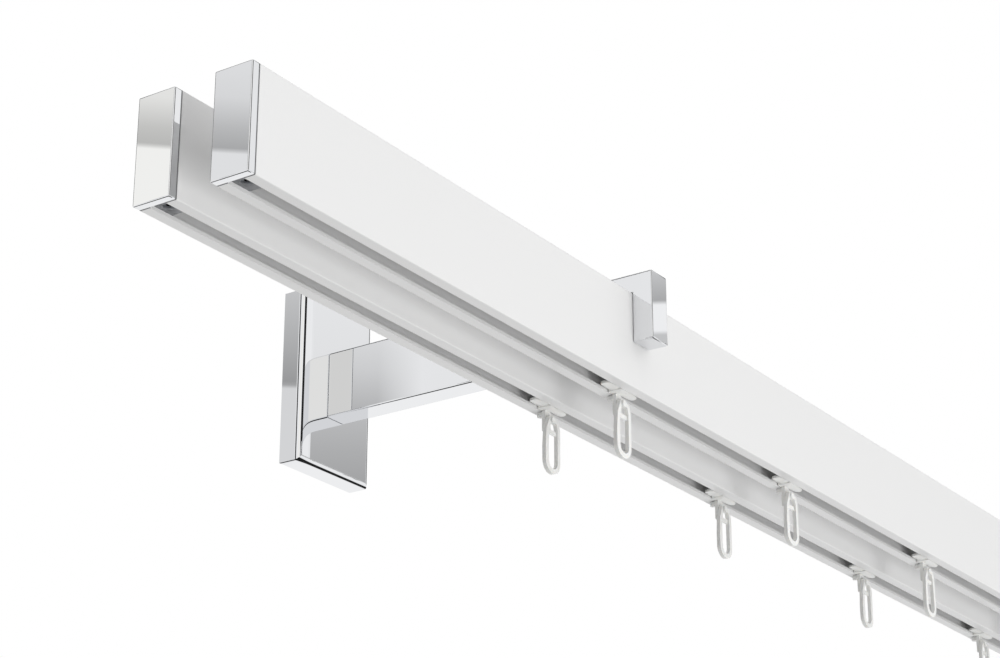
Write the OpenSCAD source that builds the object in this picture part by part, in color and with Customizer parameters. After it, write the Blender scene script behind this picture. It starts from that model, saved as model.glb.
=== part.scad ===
// Double curtain rod: two rectangular rails with inside runners on two wall brackets.
// Millimetres. X runs along the rod, Y points at the wall, Z is up. The wall is the plane y = 0,
// x = 0 is midway between the brackets and z = 0 is the middle of the arms.

/* [Rails] */
// Length of each profile without its caps
rail_l = 1200; // [1000:10:2400]
// Depth of the profile, front to back
rail_w = 14; // [13:0.5:18]
// Height of the profile
rail_h = 35; // [30:1:50]
// Thickness of the outer walls
rail_wall = 1.3; // [1:0.1:1.6]
// Thickness of the lips and of the inner webs
lip_t = 1.2; // [1:0.1:1.5]
// Width of the runner slot and of the clamp slot
slot_w = 6; // [5.4:0.1:7]
// Inner height of the runner track
track_h = 6.3; // [5.8:0.1:8]
// Inner height of the clamp groove on top
groove_h = 4.2; // [4:0.1:6]
// Free space between the two rails
rail_gap = 15; // [12:0.5:40]
// Radius of the profile's outer edges
rail_edge_r = 0.4; // [0.2:0.1:0.8]

/* [End caps] */
// Thickness of the visible cap plate
cap_t = 3; // [2:0.5:6]
// Length of the plugs inside the profile
plug_l = 10; // [9:0.5:20]
// Clearance of the plugs on every side
plug_fit = 0.1; // [0.05:0.05:0.2]
// Radius of the cap plate's edges
cap_edge_r = 0.4; // [0.2:0.1:0.8]
// Thread diameter of the cap's grub screw
cap_screw_d = 4; // [3:0.5:5]

/* [Arms] */
// Reach from the wall to the front of the arm
reach = 150; // [140:1:220]
// Thickness of the tang in front of the front rail
tang_t = 8; // [5:0.5:12]
// Width of the arm along the rod
arm_w = 10; // [10:0.5:16]
// Height of the arm
arm_h = 25.5; // [24:0.5:30]
// Height of the arm over the rails
bridge_h = 7; // [6.5:0.5:9]
// Clearance between a notch and the rail in it, front and back
notch_fit = 0.1; // [0.05:0.05:0.3]
// Radius of the arm's edges
arm_edge_r = 0.6; // [0.3:0.1:1]
// Distance from the outer end of the rod to the middle of each bracket
bracket_inset = 209; // [120:1:260]

/* [Wall plates] */
// Width of the cover plate
plate_w = 42; // [36:1:60]
// Height of the cover plate
plate_h = 67; // [66:1:90]
// Depth of the cover plate
plate_d = 9; // [8.8:0.1:14]
// Wall of the cover plate's sides
plate_wall = 2; // [1.6:0.1:2.5]
// Wall of the cover plate's front
plate_front = 2.2; // [2:0.1:2.5]
// Radius of the cover plate's front edges
plate_edge_r = 2; // [1:0.1:2]
// Corner radius of the hollow in the cover plate
plate_inside_r = 1; // [0.5:0.1:2]
// Wall of the boss round the cover's grub screw
boss_wall = 3; // [2:0.5:4]
// Clearance of the boss and of the lower ledge over and under the wall mount
mount_gap = 0.3; // [0.1:0.1:0.5]
// How far the boss and the ledge stay off the wall
boss_setback = 0.5; // [0.3:0.1:1]
// Thickness of the wall mount
mount_t = 4; // [3.5:0.1:4]
// Height of the wall mount
mount_h = 54; // [52:1:55]
// Clearance between the wall mount and the cover's sides
mount_fit = 0.2; // [0.1:0.05:0.4]
// Corner radius of the wall mount
mount_corner_r = 2; // [1:0.5:4]
// Height of one wall screw hole over the other
wall_screw_pitch = 40; // [36:1:42]
// Diameter of the wall screw holes
wall_hole_d = 5.2; // [4.5:0.1:5.6]
// Diameter of their countersinks
wall_sink_d = 9.6; // [9:0.1:10]

/* [Screws] */
// Diameter of the clamp screws
clamp_d = 4; // [3:0.5:4]
// Diameter of the clamp screws' heads
clamp_head_d = 7; // [6:0.5:7]
// Height of the clamp screws' heads
clamp_head_h = 4; // [3:0.5:4]
// Length of the clamp screws under the head
clamp_l = 7.5; // [6.5:0.5:7.5]
// Length of the clamp nuts along the rail
nut_l = 14; // [10:1:20]
// Thickness of the clamp nuts under the lips
nut_t = 2.6; // [2:0.1:2.8]
// Clearance of the clamp nuts, left and right
nut_fit = 0.3; // [0.1:0.1:0.5]
// Width over the corners of the clamp screws' sockets
clamp_socket_w = 3.4; // [2.5:0.1:3.5]
// Diameter of the arm screws
arm_screw_d = 5; // [4:0.5:5.5]
// Diameter of the arm screws' heads
arm_head_d = 8.4; // [7.5:0.1:9]
// Height of the arm screws' heads
arm_head_h = 2.3; // [1.8:0.1:2.5]
// Length of the arm screws under the head
arm_screw_l = 14; // [10:1:20]
// Width over the corners of the arm screws' sockets
arm_socket_w = 3.4; // [2.5:0.1:4]
// Distance between the two arm screws
arm_screw_pitch = 14; // [12:1:14]
// Diameter of the grub screw on the cover's top edge
plate_screw_d = 4; // [3:0.5:4]
// How far that screw lies in front of the wall mount's middle
plate_screw_out = 0.6; // [0:0.1:1]
// Width over the corners of the grub screws' sockets
grub_socket_w = 2.3; // [1.7:0.1:2.6]
// How far the clamp screws' heads lie under the top of the arm
clamp_sink = 0.2; // [0:0.1:0.5]
// Clearance of a thread on its screw, on the radius
thread_fit = 0.05; // [0.02:0.01:0.1]
// Clearance of a plain hole on its screw, on the radius
hole_fit = 0.2; // [0.1:0.05:0.4]

/* [Gliders] */
// Gliders on each rail
glider_count = 8; // [1:1:8]
// Distance from the outer end of the rod to the first glider
glider_first = 205.5; // [60:0.5:400]
// Distance from one glider to the next
glider_pitch = 121.1; // [60:0.1:130]
// Length of a glider over its wings
glider_l = 20; // [18:0.5:26]
// Width of a glider's spring wings where they leave the neck
wing_w = 4.8; // [4:0.1:5.2]
// Width of the spring wings at their round tips
wing_tip_w = 3.6; // [2:0.1:4.2]
// Radius of the wings' crowned underside
wing_crown_r = 6; // [4:0.5:10]
// Clearance of the wings over the rail's underside
wing_fit = 0.3; // [0.1:0.05:0.4]
// Clearance of the glider in the slot, on each side
glide_fit = 0.25; // [0.15:0.05:0.4]
// Clearance between the glider's shoe and the lips it runs on
shoe_fit = 0.1; // [0.05:0.05:0.2]
// Thickness of the shoe inside the track
shoe_t = 1.4; // [1.2:0.1:1.6]
// Height of the rib along the shoe
rib_h = 0.3; // [0.2:0.1:0.4]
// Clearance of the shoe beside the track's walls
shoe_side = 0.5; // [0.3:0.1:0.8]
// Length of the shoe along the rail
shoe_l = 8.4; // [6:0.2:12]
// Length of the neck along the rail
neck_l = 5.2; // [4.6:0.1:7]
// Width of the leg that carries the pin
leg_w = 3.4; // [3:0.1:4]
// Thickness of the leg
leg_t = 1.45; // [1.2:0.05:1.6]
// How far the leg hangs under the rail
leg_drop = 7.7; // [6:0.1:9]
// How far the heel reaches behind the middle of the slot
heel_reach = 5.3; // [4.6:0.1:6]
// Thickness of the heel under the lip
heel_t = 1.5; // [1:0.1:2]
// Clearance between the heel and the lip
heel_fit = 0.25; // [0.1:0.05:0.4]

/* [Hooks] */
// Thickness of the hook
hook_t = 1.5; // [1.2:0.1:2]
// Height of the pin's axis under the rail
pin_drop = 3.75; // [3.6:0.05:4.2]
// Place of the pin's axis along the rail, from the glider's middle
pin_x = 1.5; // [-0.5:0.1:2]
// Diameter of the pin
pin_d = 1.6; // [1.4:0.1:1.8]
// Clearance of the pin in the hook's eye, on the radius
pin_fit = 0.05; // [0.03:0.01:0.08]
// Wall of the hook over the pin
eye_wall = 0.95; // [0.8:0.05:1.1]
// Space between the hook and the leg, and between the hook and the pin's head
hook_fit = 0.25; // [0.15:0.05:0.4]
// Place of the loop's middle along the rail, from the pin's axis
loop_shift = 0.4; // [0:0.1:1]
// Width of the hook's loop outside
loop_w = 9.1; // [8.8:0.1:11]
// Lowest point of the loop under the rail
loop_drop = 23.3; // [20:0.1:30]
// Width of the loop's right bar
bar_w = 1.6; // [1.4:0.1:2]
// Width of the loop's left bar, which balances the eye
left_bar_w = 2; // [1.6:0.1:2.2]
// Width of the loop's bar under the eye
spine_w = 1.4; // [1.2:0.1:1.6]
// Height of the cross web under the small upper hole, from the rail down
web_drop = 7.1; // [6.8:0.1:7.6]
// Thickness of the cross web
web_t = 1.6; // [1.2:0.1:2]
// Depth of the cross web, from the back of the hook
web_depth = 0.8; // [0.6:0.1:1.1]

/* [Hidden] */
$fn = 48;

// Places
rod_end = rail_l / 2 + cap_t;               // outer face of the caps, from the middle
bracket_x = rod_end - bracket_inset;        // middle of a bracket, from the middle
rail_pitch = rail_w + rail_gap;             // front rail to rear rail
front_y = -reach + tang_t + rail_w / 2;     // middle of the front rail
rear_y = front_y + rail_pitch;              // middle of the rear rail
rail_top = arm_h / 2 - bridge_h;            // top of the rails, under the bridges
rail_bot = rail_top - rail_h;               // underside of the rails
track_top = lip_t + track_h;                // roof of the runner track, over the underside
groove_floor = rail_h - lip_t - groove_h;   // floor of the clamp groove, over the underside
inner_w = rail_w - 2 * rail_wall;           // width inside the profile
eps = 0.01;                                 // overshoot of a cut past the face it opens

// Sizes that follow from others
clamp_seat = rail_top + bridge_h - clamp_head_h - clamp_sink;  // floor of the counterbore
arm_end = -plate_d;                          // where the arm meets the cover plate
plug_bot = lip_t + plug_fit;                 // underside of the lower plug
grub_recess = 0.8;                           // how deep a grub screw's end lies in its hole
plate_screw_y = -mount_t / 2 - plate_screw_out;  // axis of the cover's grub screw
neck_hw = slot_w / 2 - glide_fit;            // half width of the neck in the slot
leg_front = hook_t / 2 + hook_fit;           // front face of the leg, behind the slot's middle
pin_head_t = 0.5;                            // thickness of the pin's head
pin_head_d = pin_d + 0.7;                    // diameter of the pin's head
moulding_r = 0.5;                            // corner radius of the glider's neck and leg
eye_r = pin_d / 2 + pin_fit;                 // radius of the eye in the hook
loop_x = pin_x + loop_shift;                 // middle of the loop, from the glider's middle
loop_r = loop_w / 2;                         // outer radius at the bottom of the loop
loop_z = -loop_drop + loop_r;                // centre of the loop's round bottom
crown_x = 0.45;                              // start of the right bar, right of the pin
shoulder_x = 3.4;                            // shoulder of the right bar, right of the pin
shoulder_z = 0.3;                            // and how far under the pin's axis it lies
elbow_drop = 2.85;                           // where the right bar turns down, under the pin's axis
bow_drop = 7;                                // where the left bar has its full width, under the web

// Profile drawn in Y and Z, drawn out along X
module along_x(length) {
    rotate([90, 0, 90]) linear_extrude(length) children();
}

// Profile drawn in X and Z, drawn out along Y from y = 0
module along_y(length) {
    translate([0, length, 0]) rotate([90, 0, 0]) linear_extrude(length) children();
}

// Rectangle about the origin with round corners
module round_rect(w, h, r) {
    square([w - 2 * r, h], center = true);
    square([w, h - 2 * r], center = true);
    for (x = [-1, 1], y = [-1, 1]) translate([x * (w / 2 - r), y * (h / 2 - r)]) circle(r);
}

// Corners of the strip between two circles along their outer tangents
function tangent_strip(p, q, rp, rq) =
    let (d = q - p, along = atan2(d.y, d.x), lean = acos((rp - rq) / norm(d)))
    let (left = [cos(along + lean), sin(along + lean)])
    let (right = [cos(along - lean), sin(along - lean)])
    [p + rp * left, q + rq * left, q + rq * right, p + rp * right];

// Bar along a path of points with a radius at each, so that its outline keeps true arcs
module stroke(points, radii) {
    for (i = [0 : len(points) - 1]) translate(points[i]) circle(radii[i]);
    for (i = [1 : len(points) - 1])
        polygon(tangent_strip(points[i - 1], points[i], radii[i - 1], radii[i]));
}

// Slab in X and Z whose front edges and corners, at y = -depth, are round; its back is at y = 0
module soft_slab(w, h, depth, r) {
    translate([0, r - depth, 0]) along_y(depth - r) round_rect(w, h, r);
    translate([0, -depth, 0]) along_y(r) square([w - 2 * r, h - 2 * r], center = true);
    for (x = [-1, 1]) {
        translate([x * (w / 2 - r), r - depth, 0]) {
            cylinder(r = r, h = h - 2 * r, center = true);
            for (z = [-1, 1]) translate([0, 0, z * (h / 2 - r)]) sphere(r);
        }
    }
    for (z = [-1, 1])
        translate([0, r - depth, z * (h / 2 - r)])
            rotate([0, 90, 0]) cylinder(r = r, h = w - 2 * r, center = true);
}

// Outline in X and Y of a slab with its back on y = 0 and round edges at y = -depth
module front_rounded(w, depth, r) {
    translate([-w / 2, r - depth]) square([w, depth - r]);
    translate([r - w / 2, -depth]) square([w - 2 * r, r]);
    for (x = [-1, 1]) translate([x * (w / 2 - r), r - depth]) circle(r);
}

// Slab in X and Z whose round front edges meet in mitres; its back is at y = 0
module mitred_slab(w, h, depth, r) {
    intersection() {
        translate([0, 0, -h / 2]) linear_extrude(h) front_rounded(w, depth, r);
        translate([-w / 2, 0, 0]) along_x(w) rotate(-90) front_rounded(h, depth, r);
    }
}

// Screw along Z with its end at z = 0 and a hexagon socket in its upper end
module socket_screw(d, length, head_d, head_h, socket) {
    difference() {
        union() {
            cylinder(d = d, h = length);
            translate([0, 0, length]) cylinder(d = head_d, h = head_h);
        }
        translate([0, 0, length + head_h * 0.4])
            cylinder(d = socket, h = head_h, $fn = 6);
    }
}

// Headless screw along Z with its tip at z = 0
module grub_screw(d, length) {
    difference() {
        cylinder(d = d, h = length);
        translate([0, 0, length / 2]) cylinder(d = grub_socket_w, h = length, $fn = 6);
    }
}

// Section of the rail, standing on y = 0
module rail_section() {
    difference() {
        translate([0, rail_h / 2]) round_rect(rail_w, rail_h, rail_edge_r);
        translate([-inner_w / 2, lip_t]) square([inner_w, track_h]);
        translate([-slot_w / 2, -eps]) square([slot_w, lip_t + 2 * eps]);
        translate([-inner_w / 2, track_top + lip_t])
            square([inner_w, groove_floor - track_top - 2 * lip_t]);
        translate([-inner_w / 2, groove_floor]) square([inner_w, groove_h]);
        translate([-slot_w / 2, rail_h - lip_t - eps]) square([slot_w, lip_t + 2 * eps]);
    }
}

module rail(y) {
    color("whitesmoke")
        translate([-rail_l / 2, y, rail_bot]) along_x(rail_l) rail_section();
}

module rail_front() { rail(front_y); }
module rail_rear() { rail(rear_y); }

// Cap with its outer face looking along -X and its plugs along +X, face of the profile at x = 0
module cap() {
    plug_w = inner_w - 2 * plug_fit;
    color("silver") difference() {
        union() {
            translate([0, 0, rail_h / 2]) rotate([0, 0, -90])
                soft_slab(rail_w, rail_h, cap_t, cap_edge_r);
            translate([-eps, -plug_w / 2, plug_bot])
                cube([plug_l + eps, plug_w, track_h - 2 * plug_fit]);
            translate([-eps, -plug_w / 2, track_top + lip_t + plug_fit])
                cube([plug_l + eps, plug_w, groove_floor - track_top - 2 * lip_t - 2 * plug_fit]);
        }
        translate([plug_l / 2, 0, plug_bot - eps])
            cylinder(d = cap_screw_d + 2 * thread_fit, h = track_h);
    }
}

// Puts a left-hand piece, whose x = 0 is the profile's left end, at one end of a rail
module at_end(side, y) {
    mirror([side == "right" ? 1 : 0, 0, 0]) translate([-rail_l / 2, y, rail_bot]) children();
}

module cap_front_left() { at_end("left", front_y) cap(); }
module cap_front_right() { at_end("right", front_y) cap(); }
module cap_rear_left() { at_end("left", rear_y) cap(); }
module cap_rear_right() { at_end("right", rear_y) cap(); }

// Each presses on the roof of the track, its socket looks down through the slot
module cap_grub_screws() {
    color("dimgray") for (side = ["left", "right"], y = [front_y, rear_y])
        at_end(side, y) translate([plug_l / 2, 0, track_top]) mirror([0, 0, 1])
            grub_screw(cap_screw_d, track_h - plug_fit - grub_recess);
}

// Arm about x = 0: a bar with one notch over each rail, screw seats from above and behind
module arm() {
    length = reach - plate_d;
    color("silver") difference() {
        intersection() {
            translate([0, -reach, 0]) along_y(length) round_rect(arm_w, arm_h, arm_edge_r);
            translate([-arm_w / 2, arm_end - length / 2 + arm_edge_r / 2, 0]) along_x(arm_w)
                round_rect(length + arm_edge_r, arm_h, arm_edge_r);
            translate([0, arm_end - length / 2, 0])
                cube([arm_w, length, arm_h], center = true);
        }
        for (y = [front_y, rear_y]) {
            translate([-arm_w / 2 - eps, y - rail_w / 2 - notch_fit, -arm_h / 2 - eps])
                cube([arm_w + 2 * eps, rail_w + 2 * notch_fit, arm_h - bridge_h + eps]);
            translate([0, y, 0]) cylinder(d = clamp_d + 2 * hole_fit, h = arm_h);
            translate([0, y, clamp_seat])
                cylinder(d = clamp_head_d + 2 * hole_fit, h = arm_h);
        }
        for (z = [-1, 1]) translate([0, arm_end + eps, z * arm_screw_pitch / 2])
            rotate([90, 0, 0])
                cylinder(d = arm_screw_d + 2 * thread_fit, h = arm_screw_l - plate_front + 1);
    }
}

// Puts a piece that is drawn about x = 0 at one bracket
module at_bracket(side) {
    translate([side == "right" ? bracket_x : -bracket_x, 0, 0]) children();
}

module arm_left() { at_bracket("left") arm(); }
module arm_right() { at_bracket("right") arm(); }

// Hollow cover with a boss for its grub screw on top and a ledge below, which grip the wall mount
module cover_plate() {
    inside_w = plate_w - 2 * plate_wall;
    inside_h = plate_h - 2 * plate_wall;
    cavity_d = plate_d - plate_front;
    boss_w = plate_screw_d + 2 * boss_wall;
    boss_top = plate_h / 2 - plate_wall + eps;
    boss_bot = mount_h / 2 + mount_gap;
    color("silver") difference() {
        union() {
            difference() {
                mitred_slab(plate_w, plate_h, plate_d, plate_edge_r);
                translate([0, -cavity_d, 0]) along_y(cavity_d + eps)
                    round_rect(inside_w, inside_h, plate_inside_r);
            }
            translate([-boss_w / 2, -cavity_d - eps, boss_bot])
                cube([boss_w, cavity_d - boss_setback, boss_top - boss_bot]);
            translate([-boss_w, -cavity_d - eps, -boss_top])
                cube([2 * boss_w, cavity_d - boss_setback, boss_top - boss_bot]);
        }
        for (z = [-1, 1]) translate([0, -cavity_d + 1, z * arm_screw_pitch / 2])
            rotate([90, 0, 0]) cylinder(d = arm_screw_d + 2 * hole_fit, h = plate_d);
        translate([0, plate_screw_y, mount_h / 2])
            cylinder(d = plate_screw_d + 2 * thread_fit, h = plate_h);
    }
}

module cover_plate_left() { at_bracket("left") cover_plate(); }
module cover_plate_right() { at_bracket("right") cover_plate(); }

// Plate on the wall with two countersunk holes, one over the other
module wall_mount() {
    mount_w = plate_w - 2 * plate_wall - 2 * mount_fit;
    sink_h = (wall_sink_d - wall_hole_d) / 2;
    color("lightsteelblue") difference() {
        translate([0, -mount_t, 0]) along_y(mount_t) round_rect(mount_w, mount_h, mount_corner_r);
        for (z = [-1, 1]) translate([0, eps, z * wall_screw_pitch / 2]) rotate([90, 0, 0]) {
            cylinder(d = wall_hole_d, h = mount_t + 2 * eps);
            translate([0, 0, mount_t + eps - sink_h])
                cylinder(d1 = wall_hole_d, d2 = wall_sink_d + 2 * eps, h = sink_h + eps);
        }
    }
}

module wall_mount_left() { at_bracket("left") wall_mount(); }
module wall_mount_right() { at_bracket("right") wall_mount(); }

// Each bears on the top edge of its wall mount
module plate_grub_screws() {
    length = plate_h / 2 - mount_h / 2 - grub_recess;
    color("dimgray") for (side = ["left", "right"])
        at_bracket(side) translate([0, plate_screw_y, mount_h / 2])
            grub_screw(plate_screw_d, length);
}

// Two screws from behind through the cover's front wall into the arm
module arm_screws() {
    color("gray") for (z = [-1, 1])
        translate([0, -plate_d + plate_front - arm_screw_l, z * arm_screw_pitch / 2])
            rotate([-90, 0, 0])
                socket_screw(arm_screw_d, arm_screw_l, arm_head_d, arm_head_h, arm_socket_w);
}

module arm_screws_left() { at_bracket("left") arm_screws(); }
module arm_screws_right() { at_bracket("right") arm_screws(); }

// One screw over each rail, its head sunk in the bridge
module clamp_screws() {
    color("silver") for (y = [front_y, rear_y])
        translate([0, y, clamp_seat - clamp_l])
            socket_screw(clamp_d, clamp_l, clamp_head_d, clamp_head_h, clamp_socket_w);
}

module clamp_screws_left() { at_bracket("left") clamp_screws(); }
module clamp_screws_right() { at_bracket("right") clamp_screws(); }

// T-shaped nuts under the lips of the clamp groove, with a neck in the slot
module clamp_nuts() {
    color("gray") for (y = [front_y, rear_y]) translate([0, y, rail_top - lip_t]) difference() {
        union() {
            translate([-nut_l / 2, -inner_w / 2 + nut_fit, -nut_t])
                cube([nut_l, inner_w - 2 * nut_fit, nut_t]);
            translate([-nut_l / 2, -slot_w / 2 + nut_fit, -eps])
                cube([nut_l, slot_w - 2 * nut_fit, lip_t - nut_fit + eps]);
        }
        translate([0, 0, -nut_t - eps])
            cylinder(d = clamp_d + 2 * thread_fit, h = nut_t + lip_t + 2 * eps);
    }
}

module clamp_nuts_left() { at_bracket("left") clamp_nuts(); }
module clamp_nuts_right() { at_bracket("right") clamp_nuts(); }

// One spring wing of a glider, a tongue along +X with a round tip and a crowned underside
module wing() {
    tip_r = wing_tip_w / 2;
    intersection() {
        translate([0, 0, wing_fit]) linear_extrude(lip_t - wing_fit)
            stroke([[neck_l / 2 - wing_w / 2, 0], [glider_l / 2 - tip_r, 0]], [wing_w / 2, tip_r]);
        translate([-eps, 0, wing_fit + wing_crown_r]) rotate([0, 90, 0])
            cylinder(r = wing_crown_r, h = glider_l / 2 + 2 * eps);
    }
}

// Glider about its own middle with z = 0 on the rail's underside
module glider() {
    shoe_z = lip_t + shoe_fit;
    shoe_w = inner_w - 2 * shoe_side;
    heel_w = leg_w * 0.65;
    heel_y = heel_reach - leg_front - heel_w / 2;
    color("white") {
        // Shoe that runs on the lips, and the neck through the slot
        translate([0, 0, shoe_z]) linear_extrude(shoe_t) round_rect(shoe_l, shoe_w, 1.2);
        translate([0, 0, shoe_z + shoe_t - eps])
            linear_extrude(rib_h + eps) round_rect(shoe_l * 0.8, slot_w / 2, moulding_r);
        linear_extrude(shoe_z + eps) round_rect(neck_l, 2 * neck_hw, moulding_r);
        // Spring wings inside the slot, joined to the neck
        for (side = [0, 1]) mirror([side, 0, 0]) wing();
        // Leg behind the hook, its heel under the rear lip and the pin with its head
        translate([pin_x, leg_front, 0]) {
            along_y(leg_t) translate([0, -leg_drop / 2 + eps])
                round_rect(leg_w, leg_drop, moulding_r);
            translate([-heel_w / 2, leg_t / 2, -heel_fit - heel_t])
                cube([heel_w, heel_y - leg_t / 2, heel_t]);
            translate([0, heel_y, -heel_fit - heel_t]) cylinder(d = heel_w, h = heel_t);
        }
        translate([pin_x, 0, -pin_drop]) {
            translate([0, -leg_front - eps, 0]) along_y(2 * leg_front + leg_t / 2) circle(d = pin_d);
            translate([0, -leg_front - pin_head_t, 0]) along_y(pin_head_t) circle(d = pin_head_d);
        }
    }
}

// Hook about its glider's middle: an eye round the pin, a small hole, a web and the long loop
module hook() {
    bar_r = bar_w / 2;
    rim_r = eye_r + eye_wall;
    eye = [pin_x, -pin_drop];
    right_x = loop_x + loop_r - bar_r;
    left_r = left_bar_w / 2;
    left_x = loop_x - loop_r + left_r;
    crown = eye + [crown_x, rim_r - bar_r];
    shoulder = eye + [shoulder_x, -shoulder_z];
    elbow = [right_x, -pin_drop - elbow_drop];
    spine_top = eye + [spine_w / 2 - rim_r, 0];
    spine_bot = [left_x + (left_bar_w - spine_w) * 0.4, -web_drop - web_t / 3];
    bow = [left_x, -web_drop - bow_drop];
    color("white") translate([0, -hook_t / 2, 0]) {
        along_y(hook_t) difference() {
            union() {
                translate(eye) circle(rim_r);
                stroke([crown, shoulder, elbow], [bar_r, bar_r, bar_r]);
                stroke([spine_top, spine_bot, bow], [spine_w / 2, spine_w / 2, left_r]);
            }
            translate(eye) circle(eye_r);
            polygon([
                eye + [-eye_r, 0], eye + [eye_r, 0], eye + [eye_r * 3, -rim_r - 0.1],
                eye + [-eye_r - 0.2, -rim_r - 0.1]
            ]);
        }
        along_y(hook_t) translate([right_x - bar_r, loop_z]) square([bar_w, elbow.y - loop_z]);
        along_y(hook_t) translate([left_x - left_r, loop_z])
            square([left_bar_w, bow.y - loop_z]);
        translate([0, hook_t - web_depth, 0]) along_y(web_depth)
            translate([spine_bot.x, -web_drop - web_t]) square([right_x - spine_bot.x, web_t]);
        along_y(hook_t) translate([loop_x, loop_z]) difference() {
            circle(loop_r);
            translate([left_r - bar_r, 0]) circle(loop_r - bar_r - left_r);
            translate([-loop_w, 0]) square([2 * loop_w, loop_w]);
        }
    }
}

// Puts a piece at one glider's place on a rail
module at_glider(i, y) {
    translate([-rod_end + glider_first + (i - 1) * glider_pitch, y, rail_bot]) children();
}

rail_front();
rail_rear();
cap_front_left();
cap_front_right();
cap_rear_left();
cap_rear_right();
cap_grub_screws();
arm_left();
arm_right();
cover_plate_left();
cover_plate_right();
wall_mount_left();
wall_mount_right();
plate_grub_screws();
arm_screws_left();
arm_screws_right();
clamp_screws_left();
clamp_screws_right();
clamp_nuts_left();
clamp_nuts_right();
for (i = [1 : glider_count]) {
    at_glider(i, front_y) glider();
    at_glider(i, rear_y) glider();
    at_glider(i, front_y) hook();
    at_glider(i, rear_y) hook();
}
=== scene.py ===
"""Dresses the double curtain rod: two enamelled rails on two chromed wall brackets.

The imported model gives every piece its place. This script gives the pieces their edges and their
finishes, and sets up the studio and the camera.
"""

import functools
import logging
import math
from dataclasses import dataclass
from enum import Enum
from typing import Any, Iterable, Sequence

import bpy
from mathutils import Euler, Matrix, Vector


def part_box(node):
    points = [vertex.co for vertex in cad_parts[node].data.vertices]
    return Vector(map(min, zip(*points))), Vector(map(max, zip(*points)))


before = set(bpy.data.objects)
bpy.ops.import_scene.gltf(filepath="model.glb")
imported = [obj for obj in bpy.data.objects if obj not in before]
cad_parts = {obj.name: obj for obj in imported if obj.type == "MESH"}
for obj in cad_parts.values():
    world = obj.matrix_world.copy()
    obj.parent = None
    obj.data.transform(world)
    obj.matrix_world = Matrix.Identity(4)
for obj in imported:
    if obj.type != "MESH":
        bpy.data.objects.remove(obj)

LOG = logging.getLogger("curtain_rod")

# One millimetre, in metres
MM = 0.001


def linear(hex_colour: str) -> tuple[float, float, float, float]:
    """Turns an sRGB hex colour into linear red, green, blue and alpha.

    Args:
        hex_colour: Colour such as "#ECECEC".

    Returns:
        The linear colour with an alpha of 1.
    """
    parts = [int(hex_colour[i:i + 2], 16) / 255 for i in (1, 3, 5)]
    low = [c / 12.92 if c <= 0.04045 else ((c + 0.055) / 1.055) ** 2.4 for c in parts]
    return (low[0], low[1], low[2], 1.0)


WHITE = linear("#FFFFFF")


@functools.cache
def box_mm(node: str) -> tuple[Vector, Vector]:
    """Returns a node's lowest and highest corners at rest, in millimetres."""
    low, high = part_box(node)
    return low / MM, high / MM


def named(*starts: str) -> list[str]:
    """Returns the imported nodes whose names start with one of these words."""
    return sorted(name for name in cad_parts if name.startswith(starts))


# Distances from the middle of the rod, in millimetres
RAIL_END = box_mm("rail_front")[1].x
PLATE_EDGE = box_mm("cover_plate_right")[1].x


def add_node(
    tree: bpy.types.NodeTree,
    kind: str,
    settings: dict[str, Any] | None = None,
    values: dict[str | int, Any] | None = None,
    links: dict[str | int, bpy.types.NodeSocket] | None = None,
) -> bpy.types.Node:
    """Adds one shader node.

    Args:
        tree: Node tree that takes the node.
        kind: Node type, such as "ShaderNodeTexNoise".
        settings: Attributes of the node.
        values: Constant values by input name or index.
        links: Output sockets by the input that each feeds.

    Returns:
        The new node.
    """
    node = tree.nodes.new(kind)
    for name, value in (settings or {}).items():
        setattr(node, name, value)
    for key, value in (values or {}).items():
        node.inputs[key].default_value = value
    for key, socket in (links or {}).items():
        tree.links.new(socket, node.inputs[key])
    return node


class Slot(Enum):
    """Material slots of the part's record."""

    RAIL = "rail_coat"
    CHROME = "chrome"
    ZINC = "zinc_steel"
    PLASTIC = "runner_plastic"


@dataclass(frozen=True)
class Relief:
    """Fine unevenness of a surface.

    Attributes:
        size_mm: Distance from one rise to the next.
        height_mm: Height of a rise.
        detail: Octaves of the noise.
    """

    size_mm: float
    height_mm: float
    detail: float = 2.0


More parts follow.
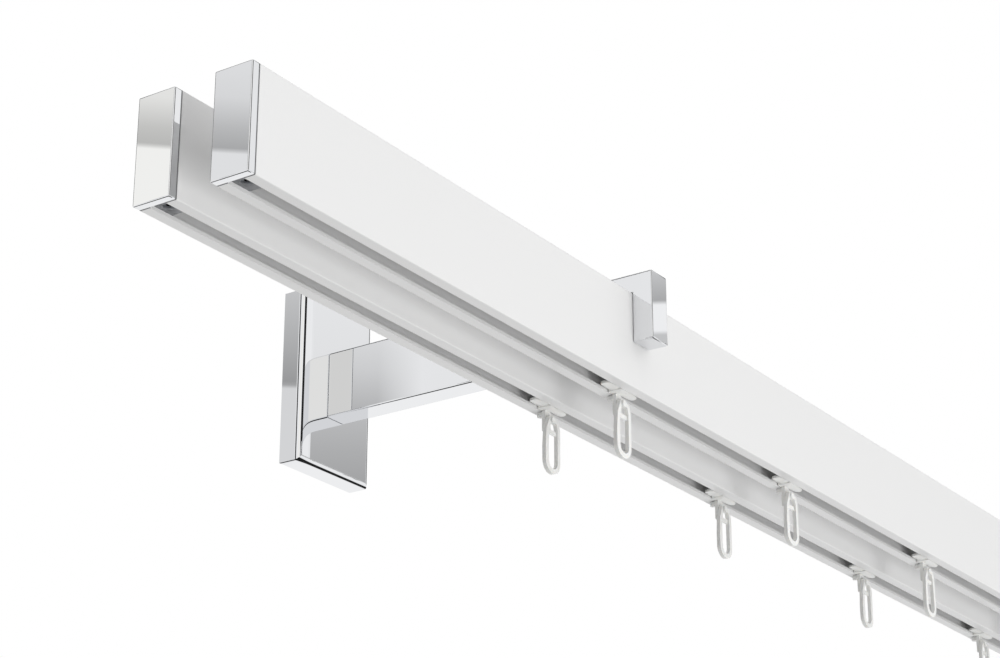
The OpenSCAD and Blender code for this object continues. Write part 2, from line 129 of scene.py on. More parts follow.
@dataclass(frozen=True)
class Finish:
    """Plain matt surface, and the base of the other finishes.

    Attributes:
        name: Common name of the material.
        colour: sRGB hex colour.
        roughness: Roughness of the surface.
        relief: Unevenness that the light picks out.
    """

    name: str
    colour: str
    roughness: float
    relief: Relief

    def shader(self, tree: bpy.types.NodeTree) -> bpy.types.Node:
        """Adds the Principled shader with the constant values.

        Args:
            tree: Node tree of the material.

        Returns:
            The shader node.
        """
        return add_node(tree, "ShaderNodeBsdfPrincipled", values={
            "Base Color": linear(self.colour), "Roughness": self.roughness})

    def place(self, tree: bpy.types.NodeTree) -> bpy.types.NodeSocket:
        """Returns the object coordinates, in metres."""
        return add_node(tree, "ShaderNodeTexCoord").outputs["Object"]

    def from_middle(self, tree: bpy.types.NodeTree) -> bpy.types.NodeSocket:
        """Measures how far a point lies from the middle of the rod, along the rails.

        Args:
            tree: Node tree of the material.

        Returns:
            The distance, in metres.
        """
        along = add_node(tree, "ShaderNodeSeparateXYZ", links={0: self.place(tree)})
        return add_node(tree, "ShaderNodeMath", {"operation": "ABSOLUTE"}, links={
            0: along.outputs["X"]}).outputs[0]

    def unevenness(self, tree: bpy.types.NodeTree, shader: bpy.types.Node) -> None:
        """Adds the relief to the shader's normal.

        Args:
            tree: Node tree of the material.
            shader: Shader that takes the normal.
        """
        noise = add_node(tree, "ShaderNodeTexNoise", values={
            "Scale": 1 / (self.relief.size_mm * MM), "Detail": self.relief.detail},
            links={"Vector": self.place(tree)})
        bump = add_node(tree, "ShaderNodeBump", values={
            "Strength": 1.0, "Distance": self.relief.height_mm * MM},
            links={"Height": noise.outputs["Fac"]})
        tree.links.new(bump.outputs["Normal"], shader.inputs["Normal"])

    def dress(self, tree: bpy.types.NodeTree, shader: bpy.types.Node) -> None:
        """Adds what only this finish has; the base adds nothing.

        Args:
            tree: Node tree of the material.
            shader: Shader that is dressed.
        """

    def material(self) -> bpy.types.Material:
        """Builds the material.

        Returns:
            The material, named for the real one.
        """
        made = bpy.data.materials.new(self.name)
        made.use_nodes = True
        tree = made.node_tree
        tree.nodes.clear()
        shader = self.shader(tree)
        self.unevenness(tree, shader)
        self.dress(tree, shader)
        add_node(tree, "ShaderNodeOutputMaterial", links={"Surface": shader.outputs["BSDF"]})
        return made


@dataclass(frozen=True)
class Enamel(Finish):
    """Stoved gloss enamel on extruded aluminium: even white with a soft, wet shine.

    Attributes:
        coat: Weight of the clear gloss over the white.
        coat_roughness: Roughness of that gloss.
        ior: Index of refraction of the enamel and of its gloss.
    """

    coat: float
    coat_roughness: float = 0.06
    ior: float = 1.5

    def shader(self, tree: bpy.types.NodeTree) -> bpy.types.Node:
        """Adds the shader with its clear coat.

        Args:
            tree: Node tree of the material.

        Returns:
            The shader node.
        """
        return add_node(tree, "ShaderNodeBsdfPrincipled", values={
            "Base Color": linear(self.colour), "Roughness": self.roughness, "IOR": self.ior,
            "Coat Weight": self.coat, "Coat Roughness": self.coat_roughness,
            "Coat IOR": self.ior})


@dataclass(frozen=True)
class CutEnamel(Enamel):
    """Enamel of a length that was sawn after the spraying, so that bare metal edges its ends.

    Attributes:
        end_mm: Distance of the cut ends from the middle of the rod.
        bare_mm: Width of the bare edge.
        bare_colour: Its sRGB hex colour.
    """

    end_mm: float = RAIL_END
    bare_mm: float = 0.3
    bare_colour: str = "#8C8D8F"

    def dress(self, tree: bpy.types.NodeTree, shader: bpy.types.Node) -> None:
        """Bares the edge at the saw cut.

        Args:
            tree: Node tree of the material.
            shader: Shader that is dressed.
        """
        cut = add_node(tree, "ShaderNodeMath", {"operation": "GREATER_THAN"}, {
            1: (self.end_mm - self.bare_mm) * MM}, {0: self.from_middle(tree)})
        colour = add_node(tree, "ShaderNodeMix", {"data_type": "RGBA"}, {
            6: linear(self.colour), 7: linear(self.bare_colour)}, {0: cut.outputs[0]})
        tree.links.new(colour.outputs[2], shader.inputs["Base Color"])


@dataclass(frozen=True)
class Plated(Finish):
    """Plated or cast metal, from a mirror polish to a dull skin.

    Attributes:
        haze: How much the polish varies, added to the roughness.
        haze_mm: Size of the hazy patches.
        haze_detail: Octaves of the noise that draws them.
        haze_span: Values of that noise at which the haze starts and is full.
    """

    haze: float
    haze_mm: float = 20.0
    haze_detail: float = 3.0
    haze_span: tuple[float, float] = (0.3, 0.7)

    def shader(self, tree: bpy.types.NodeTree) -> bpy.types.Node:
        """Adds the shader of a metal.

        Args:
            tree: Node tree of the material.

        Returns:
            The shader node.
        """
        return add_node(tree, "ShaderNodeBsdfPrincipled", values={
            "Base Color": linear(self.colour), "Roughness": self.roughness, "Metallic": 1.0})

    def dress(self, tree: bpy.types.NodeTree, shader: bpy.types.Node) -> None:
        """Lets the polish vary from place to place.

        Args:
            tree: Node tree of the material.
            shader: Shader that is dressed.
        """
        start, full = self.haze_span
        noise = add_node(tree, "ShaderNodeTexNoise", values={
            "Scale": 1 / (self.haze_mm * MM), "Detail": self.haze_detail},
            links={"Vector": self.place(tree)})
        spread = add_node(tree, "ShaderNodeMapRange", values={
            "From Min": start, "From Max": full, "To Min": self.roughness,
            "To Max": self.roughness + self.haze}, links={"Value": noise.outputs["Fac"]})
        tree.links.new(spread.outputs["Result"], shader.inputs["Roughness"])


@dataclass(frozen=True)
class Buffed(Plated):
    """Polished metal whose flat face the buffing wheel rounded towards the outer edge.

    Attributes:
        edge_mm: Distance of the outer edge from the middle of the rod.
        roll_mm: How far the roll reaches in from the edge.
        drop_mm: How far the face has fallen at the edge.
        tightening: How much faster it falls near the edge.
    """

    edge_mm: float = PLATE_EDGE
    roll_mm: float = 13.0
    drop_mm: float = 0.75
    tightening: float = 5.0

    def unevenness(self, tree: bpy.types.NodeTree, shader: bpy.types.Node) -> None:
        """Lets the face roll off towards its outer edge.

        Args:
            tree: Node tree of the material.
            shader: Shader that takes the normal.
        """
        inward = add_node(tree, "ShaderNodeMapRange", values={
            "From Min": (self.edge_mm - self.roll_mm) * MM, "From Max": self.edge_mm * MM},
            links={"Value": self.from_middle(tree)})
        fall = add_node(tree, "ShaderNodeMath", {"operation": "POWER"}, {1: self.tightening}, {
            0: inward.outputs["Result"]})
        bump = add_node(tree, "ShaderNodeBump", {"invert": True}, {
            "Strength": 1.0, "Distance": self.drop_mm * MM}, {"Height": fall.outputs[0]})
        tree.links.new(bump.outputs["Normal"], shader.inputs["Normal"])


@dataclass(frozen=True)
class Moulded(Finish):
    """Injection-moulded acetal: a dense white plastic that lets a little light in.

    Attributes:
        glow: Weight of the light that spreads inside.
        depth_mm: How far it spreads.
        reach: Shares of that depth for red, green and blue.
        ior: Index of refraction of acetal.
    """

    glow: float = 0.15
    depth_mm: float = 0.6
    reach: tuple[float, float, float] = (1.0, 0.9, 0.8)
    ior: float = 1.48

    def shader(self, tree: bpy.types.NodeTree) -> bpy.types.Node:
        """Adds the shader with light that spreads inside.

        Args:
            tree: Node tree of the material.

        Returns:
            The shader node.
        """
        return add_node(tree, "ShaderNodeBsdfPrincipled", values={
            "Base Color": linear(self.colour), "Roughness": self.roughness, "IOR": self.ior,
            "Subsurface Weight": self.glow, "Subsurface Radius": self.reach,
            "Subsurface Scale": self.depth_mm * MM})


# Stoved enamel is levelled glass-smooth, with the faint long swell of the extrusion under it.
RAIL_ENAMEL = CutEnamel(
    "gloss enamel on aluminium", "#F0F0F0", roughness=0.4,
    relief=Relief(size_mm=2.5, height_mm=0.0006), coat=0.2)
# Inside the chambers the spray hardly reaches: thin enamel without gloss, made greyer as painted
# shade inside the track.
TRACK_ENAMEL_PAINTED_SHADE = Enamel(
    "thin enamel with painted shade inside the track", "#E6E6E6", roughness=0.5,
    relief=Relief(size_mm=1.5, height_mm=0.001), coat=0.0)
# Bright chrome over polished zinc: a cold mirror with hardly any haze.
BRIGHT_CHROME = Plated(
    "polished chrome plate", "#E3E4E6", roughness=0.004,
    relief=Relief(size_mm=12.0, height_mm=0.0001), haze=0.01)
# The same chrome on the cover plates, which the buffing wheel rounded towards their edges.
BUFFED_CHROME = Buffed(
    "buffed chrome plate", "#E3E4E6", roughness=0.004,
    relief=Relief(size_mm=12.0, height_mm=0.0001), haze=0.01)
# Zinc-plated steel: a satin blue-grey with cloudy patches.
ZINC_PLATE = Plated(
    "zinc-plated steel", "#B4B8BC", roughness=0.32,
    relief=Relief(size_mm=0.8, height_mm=0.003), haze=0.14, haze_mm=6.0)
# Bare die-cast zinc of the plugs: a dull grey with a grainy skin.
CAST_ZINC = Plated(
    "bare cast zinc", "#C0C1C4", roughness=0.5,
    relief=Relief(size_mm=0.5, height_mm=0.004), haze=0.15, haze_mm=4.0)
# A screw's socket, painted black as the shade that falls inside it.
SOCKET_PAINTED_SHADE = Finish(
    "socket painted black as shade", "#0C0C0D", roughness=0.5, relief=Relief(size_mm=0.4, height_mm=0.002))
# White acetal from a fine-etched mould: smooth with a waxy sheen.
WHITE_ACETAL = Moulded(
    "white acetal", "#F6F6F4", roughness=0.28, relief=Relief(size_mm=0.7, height_mm=0.0015))


class Finishes:
    """Makes each material once and hands it out."""

    def __init__(self) -> None:
        """Starts with no material made."""
        self._made: dict[str, bpy.types.Material] = {}

    def get(self, finish: Finish) -> bpy.types.Material:
        """Hands out a finish's material, which is made at the first call.

        Args:
            finish: Finish that is asked for.

        Returns:
            Its material.
        """
        if finish.name not in self._made:
            self._made[finish.name] = finish.material()
        return self._made[finish.name]


FINISHES = Finishes()


@dataclass
class SubAssembly:
    """Nodes of one kind that share a finish and an edge.

    Attributes:
        title: What the log calls them.
        nodes: Names of the nodes.
        slot: Their material slot in the record.
        finish: Their finish.
        edge_mm: Radius added to sharp edges, or 0 where they stay sharp.
        edge_angle: Edges sharper than this many degrees are rounded.
        even: Whether every edge keeps the full radius beside small features.
        joined: Whether the faces are joined first, so that no edge between them stays sharp.
        second: Finish of the faces that differ, or None where all are alike.
        steps: Steps across a rounded edge.
        join_mm: Points that are closer than this are joined.
        flat_angle: Faces that turn by fewer degrees than this become one.
    """

    title: str
    nodes: Sequence[str]
    slot: Slot
    finish: Finish
    edge_mm: float = 0.0
    edge_angle: float = 40.0
    even: bool = False
    joined: bool = False
    second: Finish | None = None
    steps: int = 2
    join_mm: float = 0.001
    flat_angle: float = 0.5

    def soften(self, piece: bpy.types.Object) -> None:
        """Rounds the sharp edges of one node.

        Args:
            piece: The node's mesh object.
        """
        if self.edge_mm <= 0:
            return
        if self.joined:
            joined = piece.modifiers.new("faces joined", "WELD")
            joined.merge_threshold = self.join_mm * MM
        flat = piece.modifiers.new("faces made whole", "DECIMATE")
        flat.decimate_type = "DISSOLVE"
        flat.angle_limit = math.radians(self.flat_angle)
        flat.delimit = {"MATERIAL"}
        edge = piece.modifiers.new("worked edges", "BEVEL")
        edge.width = self.edge_mm * MM
        edge.segments = self.steps
        edge.limit_method = "ANGLE"
        edge.angle_limit = math.radians(self.edge_angle)
        edge.harden_normals = True
        edge.use_clamp_overlap = not self.even

    def differs(self, node: str, middle: Vector, normal: Vector) -> bool:
        """Says whether a face has the second finish; in the base none has.

        Args:
            node: Name of the node.
            middle: The face's middle, in millimetres.
            normal: The way it looks.

        Returns:
            True where it has.
        """
        return False

    def dress(self, node: str, piece: bpy.types.Object) -> None:
        """Gives one node its finishes.

        Args:
            node: Name of the node.
            piece: The node's mesh object.
        """
        mesh = piece.data
        mesh.materials.clear()
        mesh.materials.append(FINISHES.get(self.finish))
        if self.second is None:
            return
        mesh.materials.append(FINISHES.get(self.second))
        for face in mesh.polygons:
            middle = piece.matrix_world @ face.center / MM
            face.material_index = int(self.differs(node, middle, face.normal))

    def build(self) -> None:
        """Dresses each node of the kind and logs it."""
        for node in self.nodes:
            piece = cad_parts[node]
            self.dress(node, piece)
            self.soften(piece)
            LOG.info("%s: %s, slot %s, in %s", self.title, node, self.slot.value,
                     self.finish.name)


@dataclass
class Rail(SubAssembly):
    """Extruded rail, enamelled outside, with thin enamel and painted shade inside.

    Attributes:
        wall_depth_mm: Depth under the sides from which a face counts as inside.
        lip_depth_mm: The same over the underside, past the edges of the lips.
        top_depth_mm: The same under the top.
        cut_turn: X of a normal from which a face belongs to the saw cut.
    """

    # Faces inside the chambers take the thin enamel, whose greyer tone is painted shade.
    second: Finish | None = TRACK_ENAMEL_PAINTED_SHADE
    wall_depth_mm: float = 0.6
    lip_depth_mm: float = 0.65
    top_depth_mm: float = 0.55
    cut_turn: float = 0.5

    def differs(self, node: str, middle: Vector, normal: Vector) -> bool:
        """Says whether a face lies inside a chamber.

        Args:
            node: Name of the rail.
            middle: The face's middle, in millimetres.
            normal: The way it looks.

        Returns:
            True for a face inside the rail.
        """
        low, high = box_mm(node)
        under_sides = min(middle.y - low.y, high.y - middle.y) > self.wall_depth_mm
        level = low.z + self.lip_depth_mm < middle.z < high.z - self.top_depth_mm
        return under_sides and level and abs(normal.x) < self.cut_turn


@dataclass
class EndCap(SubAssembly):
    """Chromed cap plate with bare plugs inside the rail.

    Attributes:
        inside_mm: How far inside the rail's end a face has to lie to be a plug's.
    """

    second: Finish | None = CAST_ZINC
    inside_mm: float = 0.05

    def differs(self, node: str, middle: Vector, normal: Vector) -> bool:
        """Says whether a face belongs to a plug.

        Args:
            node: Name of the cap.
            middle: The face's middle, in millimetres.
            normal: The way it looks.

        Returns:
            True for a face inside the rail.
        """
        return abs(middle.x) < RAIL_END - self.inside_mm


@dataclass
class GrubScrews(SubAssembly):
    """Headless screws whose sockets are painted black as shade, one in each corner of the node's
    box.

    Attributes:
        thread_mm: Diameter of the screws.
        socket_mm: Width of the socket over its corners.
        wall_share: Share of that width within which a socket's wall lies from the axis.
        floor_share: The same for the middle of its floor.
        level_turn: Z of a normal from which a face is level.
    """

    # The sockets' walls and floors take near-black, painted as the shade inside them.
    second: Finish | None = SOCKET_PAINTED_SHADE
    thread_mm: float = 4.0
    socket_mm: float = 2.3
    wall_share: float = 0.52
    floor_share: float = 0.2
    level_turn: float = 0.9

    def differs(self, node: str, middle: Vector, normal: Vector) -> bool:
        """Says whether a face lies in a socket.

        Args:
            node: Name of the node.
            middle: The face's middle, in millimetres.
            normal: The way it looks.

        Returns:
            True for the socket's walls and bottom.
        """
        low, high = box_mm(node)
        radius = self.thread_mm / 2
        from_axis = min(
            math.hypot(middle.x - x, middle.y - y)
            for x in (low.x + radius, high.x - radius)
            for y in (low.y + radius, high.y - radius))
        level = abs(normal.z) > self.level_turn
        return from_axis < self.socket_mm * (self.floor_share if level else self.wall_share)


@dataclass(frozen=True)
class SoftLamp:
    """Square soft lamp that looks at one point.

    Attributes:
        name: Name of the lamp.
        place: Its middle, in metres.
        aim: Point that it looks at, in metres.
        size: Side of the lamp, in metres.
        power: Watts.
    """

    name: str
    place: tuple[float, float, float]
    aim: tuple[float, float, float]
    size: float
    power: float

    def build(self) -> None:
        """Hangs the lamp, which metal doesn't mirror: it shows the studio's walls instead."""
        data = bpy.data.lights.new(self.name, "AREA")
        data.shape = "SQUARE"
        data.size = self.size
        data.energy = self.power
        lamp = bpy.data.objects.new(self.name, data)
        bpy.context.scene.collection.objects.link(lamp)
        lamp.location = Vector(self.place)
        aim = Vector(self.aim) - lamp.location
        lamp.rotation_euler = aim.to_track_quat("-Z", "Y").to_euler()
        lamp.visible_glossy = False


@dataclass(frozen=True)
class Band:
    """One stretch of the studio's mirrored surroundings, seen only in metal and gloss.

    Attributes:
        name: What it is.
        turn: Middle of the stretch, in degrees from +Y towards +X.
        reach: Half of its width, in degrees.
        heights: Degrees above the horizon, in rising order.
        greys: Brightness at each height.
        feather: Degrees over which it fades out beyond its width.
        tint: Its colour as sRGB hex.
        margin: Degrees by which its ramp goes past the lowest and the highest height.
    """

    name: str
    turn: float
    reach: float
    heights: tuple[float, ...]
    greys: tuple[float, ...]
    feather: float = 0.02
    tint: str = "#FFFFFF"
    margin: float = 1.0

    def beside(
        self, tree: bpy.types.NodeTree, turn: bpy.types.NodeSocket
    ) -> bpy.types.NodeSocket:
        """Says how far a direction lies within the stretch.

        Args:
            tree: Node tree of the world.
            turn: The direction's turn from +Y, in radians.

        Returns:
            1 inside the stretch, 0 outside, and between them in its feather.
        """
        off = add_node(tree, "ShaderNodeMath", {"operation": "SUBTRACT"}, {
            1: math.radians(self.turn)}, {0: turn})
        near = add_node(tree, "ShaderNodeMath", {"operation": "COSINE"}, links={
            0: off.outputs[0]})
        wide = add_node(tree, "ShaderNodeMath", {"operation": "ARCCOSINE"}, links={
            0: near.outputs[0]})
        return add_node(tree, "ShaderNodeMapRange", values={
            "From Min": math.radians(self.reach + self.feather),
            "From Max": math.radians(self.reach)}, links={"Value": wide.outputs[0]}).outputs[0]

    def shade(
        self, tree: bpy.types.NodeTree, height: bpy.types.NodeSocket, dim: float
    ) -> bpy.types.NodeSocket:
        """Draws the stretch's brightness over its height.

        Args:
            tree: Node tree of the world.
            height: The direction's height above the horizon, in degrees.
            dim: Factor on every brightness.

        Returns:
            The dimmed colour.
        """
        low, high = self.heights[0] - self.margin, self.heights[-1] + self.margin
        along = add_node(tree, "ShaderNodeMapRange", values={
            "From Min": low, "From Max": high}, links={"Value": height})
        ramp = add_node(tree, "ShaderNodeValToRGB", {"label": self.name}, links={
            "Fac": along.outputs[0]})
        stops = ramp.color_ramp.elements
        tint = linear(self.tint)[:3]
        for index, (at, grey) in enumerate(zip(self.heights, self.greys)):
            place = (at - low) / (high - low)
            stop = stops[index] if index < 1 else stops.new(place)
            stop.position = place
            stop.color = tuple(grey * dim * part for part in tint) + (1,)
        # A new ramp has a stop at each end, and its last one repeats the highest colour.
        stops[len(stops) - 1].color = stops[len(stops) - 2].color
        return ramp.outputs["Color"]


@dataclass
class Studio:
    """Floor, surroundings and lamps round the rod.

    Attributes:
        floor_z: Height of the floor, in metres.
        floor_size: Side of the floor, in metres.
        floor_colour: Its colour.
        floor_lift: Light that is added where the camera or glass sees the floor.
        sky: Strength of the light from all round.
        lean: How much less of the even light comes from the far left.
        lamps: Soft lamps.
        bands: What metal mirrors beside plain white; a later band lies over an earlier one.
        white: Brightness of what metal mirrors outside the bands.
        dim: Factor on the bands' colours, because a ramp's colours stop at 1.
        flag_reach: Radius of the black cloth that metal mirrors on the floor, in metres.
        flag_fade: Width over which its edge fades, in metres.
        flag_grey: Brightness of the cloth.
    """

    floor_z: float = -2.2
    floor_size: float = 40.0
    floor_colour: str = "#C3C3C2"
    floor_lift: float = 0.55
    sky: float = 0.96
    lean: float = 0.8
    lamps: tuple[SoftLamp, ...] = (
        SoftLamp("low lamp in front", place=(-0.3, -2.1, -1.4), aim=(-0.1, -0.1, 0), size=1.4,
                 power=26.5),
    )
    bands: tuple[Band, ...] = (
        Band("dark beam over the rod", 108.0, 14.0, (31.0, 33.0, 52.0, 62.0), (
            1.0, 0.12, 0.12, 1.0)),
        Band("left wall, rear cap", -46.3, 1.28, (26.1, 26.2, 26.6, 27.3, 28.2, 40.0), (
            1.12, 0.62, 0.7, 0.98, 1.02, 1.05), tint="#FFFEFA"),
        Band("left wall, front cap", -48.75, 1.15, (26.1, 26.2, 26.7, 27.4, 28.1, 40.0), (
            0.94, 0.5, 0.62, 0.86, 0.92, 1.0)),
        Band("left wall, arm", -56.5, 2.5, (10.0, 19.5, 20.5, 40.0), (
            1.0, 0.92, 1.0, 1.0), feather=2.6),
        Band("left wall, arm's foot", -52.0, 0.5, (19.3, 20.0, 21.2, 22.4), (
            0.5, 0.52, 0.78, 0.95), feather=1.1),
        Band("left wall, plate", -50.4, 0.6, (20.7, 20.8, 21.6, 23.2, 40.0), (
            0.84, 0.4, 0.52, 0.72, 0.9)),
        Band("dark post on the left", -73.0, 9.0, (5.0, 8.0, 60.0), (0.05, 0.05, 0.05)),
        Band("right wall, tang", 120.4, 1.0, (22.0, 22.1, 22.7, 22.8, 24.0), (
            0.68, 1.08, 1.08, 0.5, 0.85)),
        Band("right wall, far", 112.0, 4.5, (10.0, 30.0), (0.7, 0.7), feather=3.0),
        Band("right wall, plate", 128.5, 2.6, (18.4, 19.3, 20.0, 20.3, 23.0), (
            0.46, 0.54, 0.62, 0.94, 1.0)),
        Band("right wall, caps", 131.9, 0.75, (24.0, 25.0, 28.0, 40.0), (
            1.0, 0.9, 0.94, 1.0), feather=0.1),
        Band("dark room behind the camera", 180.0, 30.0, (5.0, 12.0, 40.0, 50.0), (
            1.0, 0.02, 0.02, 1.0)),
        Band("cream wall", -131.2, 2.5, (5.0, 40.0), (1.23, 1.23), feather=1.0,
             tint="#FFFDF8"),
        Band("cream wall in shade", -118.0, 10.7, (5.0, 40.0), (1.05, 1.05), tint="#FFFDF8"),
        Band("dark beam behind the rod", 2.0, 41.0, (8.0, 14.0, 28.0, 55.0, 65.0), (
            1.0, 0.1, 0.1, 0.16, 1.0)),
        Band("dark beam on the right", 76.0, 27.0, (8.0, 14.0, 28.0, 50.0, 60.0), (
            1.0, 0.1, 0.1, 0.16, 1.0)),
    )
    white: float = 1.05
    dim: float = 0.5
    flag_reach: float = 2.8
    flag_fade: float = 0.3
    flag_grey: float = 0.02

    def seen(self, tree: bpy.types.NodeTree) -> bpy.types.NodeSocket:
        """Returns 1 where the camera or glass looks, and 0 for the light itself."""
        path = add_node(tree, "ShaderNodeLightPath")
        return add_node(tree, "ShaderNodeMath", {"operation": "MAXIMUM"}, links={
            0: path.outputs["Is Camera Ray"],
            1: path.outputs["Is Transmission Ray"]}).outputs[0]

    def floor_shown(self, tree: bpy.types.NodeTree) -> bpy.types.NodeSocket:
        """Adds the matt floor, lifted towards white where it is looked at.

        Args:
            tree: Node tree of the floor's material.

        Returns:
            The floor's shader.
        """
        matt = add_node(tree, "ShaderNodeBsdfDiffuse", values={
            "Color": linear(self.floor_colour)})
        lift = add_node(tree, "ShaderNodeEmission", values={
            "Color": WHITE, "Strength": self.floor_lift})
        lifted = add_node(tree, "ShaderNodeAddShader", links={
            0: matt.outputs[0], 1: lift.outputs[0]})
        return add_node(tree, "ShaderNodeMixShader", links={
            0: self.seen(tree), 1: matt.outputs[0], 2: lifted.outputs[0]}).outputs[0]

    def floor_mirrored(self, tree: bpy.types.NodeTree) -> bpy.types.NodeSocket:
        """Adds what metal mirrors of the floor: a black cloth under the rod, white round it.

        Args:
            tree: Node tree of the floor's material.

        Returns:
            The mirrored floor's shader.
        """
        out = add_node(tree, "ShaderNodeVectorMath", {"operation": "LENGTH"}, links={
            0: add_node(tree, "ShaderNodeTexCoord").outputs["Object"]})
        away = add_node(tree, "ShaderNodeMapRange", values={
            "From Min": self.flag_reach - self.flag_fade, "From Max": self.flag_reach,
            "To Min": self.flag_grey, "To Max": self.white}, links={
            "Value": out.outputs["Value"]})
        return add_node(tree, "ShaderNodeEmission", values={"Color": WHITE}, links={
            "Strength": away.outputs[0]}).outputs[0]

    def floor_material(self) -> bpy.types.Material:
        """Builds the floor's material, which is clear to a camera below it.

        Returns:
            The material.
        """
        made = bpy.data.materials.new("pale matt floor")
        made.use_nodes = True
        tree = made.node_tree
        tree.nodes.clear()
        path = add_node(tree, "ShaderNodeLightPath")
        above = add_node(tree, "ShaderNodeMixShader", links={
            0: path.outputs["Is Glossy Ray"], 1: self.floor_shown(tree),
            2: self.floor_mirrored(tree)})
        below = add_node(tree, "ShaderNodeMath", {"operation": "MULTIPLY"}, links={
            0: path.outputs["Is Camera Ray"],
            1: add_node(tree, "ShaderNodeNewGeometry").outputs["Backfacing"]})
        one_sided = add_node(tree, "ShaderNodeMixShader", links={
            0: below.outputs[0], 1: above.outputs[0],
            2: add_node(tree, "ShaderNodeBsdfTransparent").outputs[0]})
        add_node(tree, "ShaderNodeOutputMaterial", links={"Surface": one_sided.outputs[0]})
        return made

    def floor(self) -> None:
        """Lays the pale floor, which keeps the shadow."""
        bpy.ops.mesh.primitive_plane_add(size=self.floor_size, location=(0, 0, self.floor_z))
        slab = bpy.context.object
        slab.name = "floor"
        slab.data.materials.append(self.floor_material())

    def mirrored(
        self, tree: bpy.types.NodeTree, way: bpy.types.Node
    ) -> bpy.types.NodeSocket:
        """Draws what metal mirrors: white, with a stretch of wall for each band.

        Args:
            tree: Node tree of the world.
            way: Node that gives the direction's X, Y and Z.

        Returns:
            The dimmed colour.
        """
        turn = add_node(tree, "ShaderNodeMath", {"operation": "ARCTAN2"}, links={
            0: way.outputs["X"], 1: way.outputs["Y"]})
        rise = add_node(tree, "ShaderNodeMath", {"operation": "ARCSINE"}, links={
            0: way.outputs["Z"]})
        height = add_node(tree, "ShaderNodeMath", {"operation": "DEGREES"}, links={
            0: rise.outputs[0]})
        plain_wall = add_node(tree, "ShaderNodeRGB")
        plain_wall.outputs[0].default_value = (self.white * self.dim,) * 3 + (1,)
        shade = plain_wall.outputs[0]
        for band in self.bands:
            shade = add_node(tree, "ShaderNodeMix", {"data_type": "RGBA"}, links={
                0: band.beside(tree, turn.outputs[0]), 6: shade,
                7: band.shade(tree, height.outputs[0], self.dim)}).outputs[2]
        return shade

    def world(self) -> None:
        """Sets the even light all round, and what the camera and metal see of it."""
        world = bpy.data.worlds.new("studio")
        bpy.context.scene.world = world
        world.use_nodes = True
        tree = world.node_tree
        tree.nodes.clear()
        path = add_node(tree, "ShaderNodeLightPath")
        way = add_node(tree, "ShaderNodeSeparateXYZ", links={
            0: add_node(tree, "ShaderNodeTexCoord").outputs["Generated"]})
        left = add_node(tree, "ShaderNodeMath", {"operation": "MINIMUM"}, {1: 0.0}, {
            0: way.outputs["X"]})
        leaning = add_node(tree, "ShaderNodeMath", {"operation": "MULTIPLY_ADD"}, {
            1: self.lean, 2: self.sky}, {0: left.outputs[0]})
        sky = add_node(tree, "ShaderNodeBackground", values={"Color": WHITE}, links={
            "Strength": leaning.outputs[0]})
        white = add_node(tree, "ShaderNodeBackground", values={
            "Color": WHITE, "Strength": 1.0})
        walls = add_node(tree, "ShaderNodeBackground", values={"Strength": 1 / self.dim}, links={
            "Color": self.mirrored(tree, way)})
        plain_seen = add_node(tree, "ShaderNodeMixShader", links={
            0: path.outputs["Is Camera Ray"], 1: sky.outputs[0], 2: white.outputs[0]})
        clear = add_node(tree, "ShaderNodeMixShader", links={
            0: path.outputs["Is Transmission Ray"], 1: plain_seen.outputs[0],
            2: white.outputs[0]})
        mixed = add_node(tree, "ShaderNodeMixShader", links={
            0: path.outputs["Is Glossy Ray"], 1: clear.outputs[0], 2: walls.outputs[0]})
        add_node(tree, "ShaderNodeOutputWorld", links={"Surface": mixed.outputs[0]})

    def build(self) -> None:
        """Sets up the whole studio."""
        self.world()
        self.floor()
        for lamp in self.lamps:
            lamp.build()
        LOG.info("studio: floor at %.2f m, %d lamps, %d bands", self.floor_z, len(self.lamps),
                 len(self.bands))


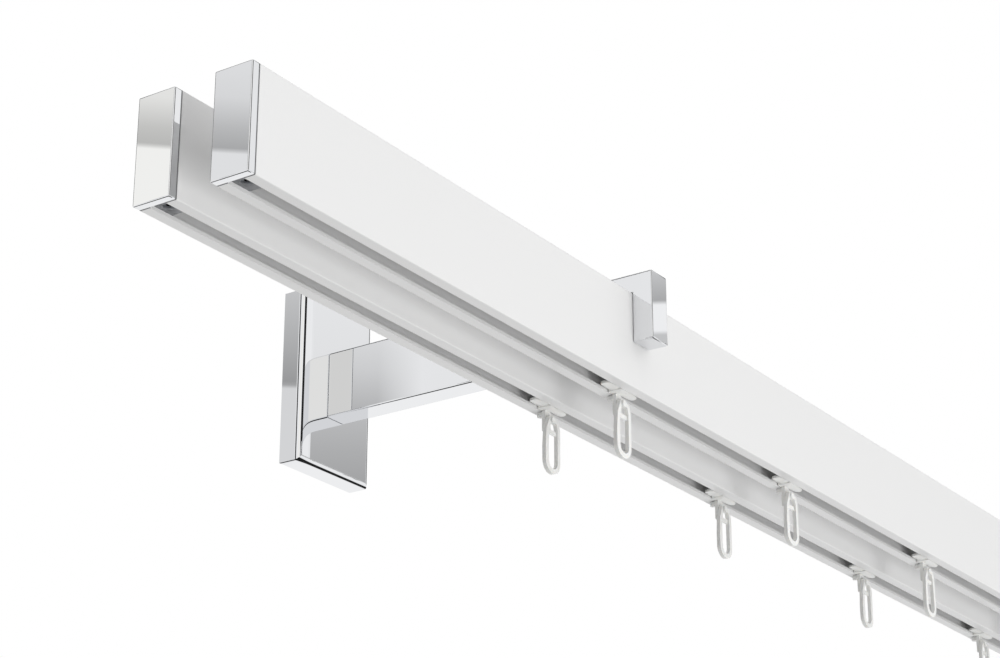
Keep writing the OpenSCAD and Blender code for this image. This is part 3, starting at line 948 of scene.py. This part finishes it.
@dataclass
class PhotoCamera:
    """Camera at the photograph's viewing angle.

    Attributes:
        place: Its place, in metres.
        heading: Degrees from +Y towards +X.
        pitch: Degrees above the horizon.
        roll: Degrees that the picture leans.
        lens: Focal length, in millimetres.
        sensor: Width of the sensor, in millimetres.
        clip: Nearest and farthest distance that it sees, in metres.
    """

    place: tuple[float, float, float] = (-1.067495, -0.545252, -0.3256466)
    heading: float = 55.5509
    pitch: float = 22.1792
    roll: float = 0.0928
    lens: float = 88.2
    sensor: float = 36.0
    clip: tuple[float, float] = (0.01, 100.0)

    def build(self) -> None:
        """Places the camera and makes it the scene's own."""
        data = bpy.data.cameras.new("photo camera")
        data.sensor_fit = "HORIZONTAL"
        data.sensor_width = self.sensor
        data.lens = self.lens
        data.clip_start, data.clip_end = self.clip
        camera = bpy.data.objects.new("photo camera", data)
        bpy.context.scene.collection.objects.link(camera)
        camera.location = Vector(self.place)
        turn = Euler((math.radians(90 + self.pitch), 0, math.radians(-self.heading)), "XYZ")
        lean = Euler((0, 0, math.radians(self.roll)), "XYZ")
        camera.rotation_euler = (turn.to_matrix() @ lean.to_matrix()).to_euler("XYZ")
        bpy.context.scene.camera = camera
        LOG.info("camera: %.1f mm lens", self.lens)


def sub_assemblies() -> list[SubAssembly]:
    """Lists what the rod is made of.

    Returns:
        The sub-assemblies in the order in which they are dressed.
    """
    return [
        Rail("rail", named("rail_"), Slot.RAIL, RAIL_ENAMEL, edge_mm=0.15),
        EndCap("end cap", named("cap_front", "cap_rear"), Slot.CHROME, BRIGHT_CHROME,
               edge_mm=0.3, even=True, joined=True),
        SubAssembly("arm", named("arm_left", "arm_right"), Slot.CHROME, BRIGHT_CHROME,
                    edge_mm=0.4, even=True, joined=True),
        SubAssembly("cover plate", named("cover_plate"), Slot.CHROME, BUFFED_CHROME,
                    edge_mm=0.2, even=True),
        SubAssembly("wall mount", named("wall_mount"), Slot.ZINC, ZINC_PLATE, edge_mm=0.3),
        SubAssembly("screw", named("arm_screws", "clamp_screws"), Slot.ZINC, ZINC_PLATE,
                    edge_mm=0.2),
        SubAssembly("clamp nut", named("clamp_nuts"), Slot.ZINC, ZINC_PLATE, edge_mm=0.2),
        GrubScrews("cap grub screw", named("cap_grub_screws"), Slot.ZINC, ZINC_PLATE),
        GrubScrews("cover grub screw", named("plate_grub_screws"), Slot.ZINC, ZINC_PLATE),
        SubAssembly("glider", named("glider"), Slot.PLASTIC, WHITE_ACETAL, edge_mm=0.2),
        SubAssembly("hook", named("hook"), Slot.PLASTIC, WHITE_ACETAL, edge_mm=0.3,
                    edge_angle=50.0),
    ]


def main() -> None:
    """Builds the pieces in order, then the studio and the camera."""
    logging.basicConfig(level=logging.INFO, format="%(message)s")
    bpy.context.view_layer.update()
    for kind in sub_assemblies():
        kind.build()
    Studio().build()
    PhotoCamera().build()
    bpy.context.scene.view_settings.view_transform = "Standard"


if __name__ == "__main__":
    main()
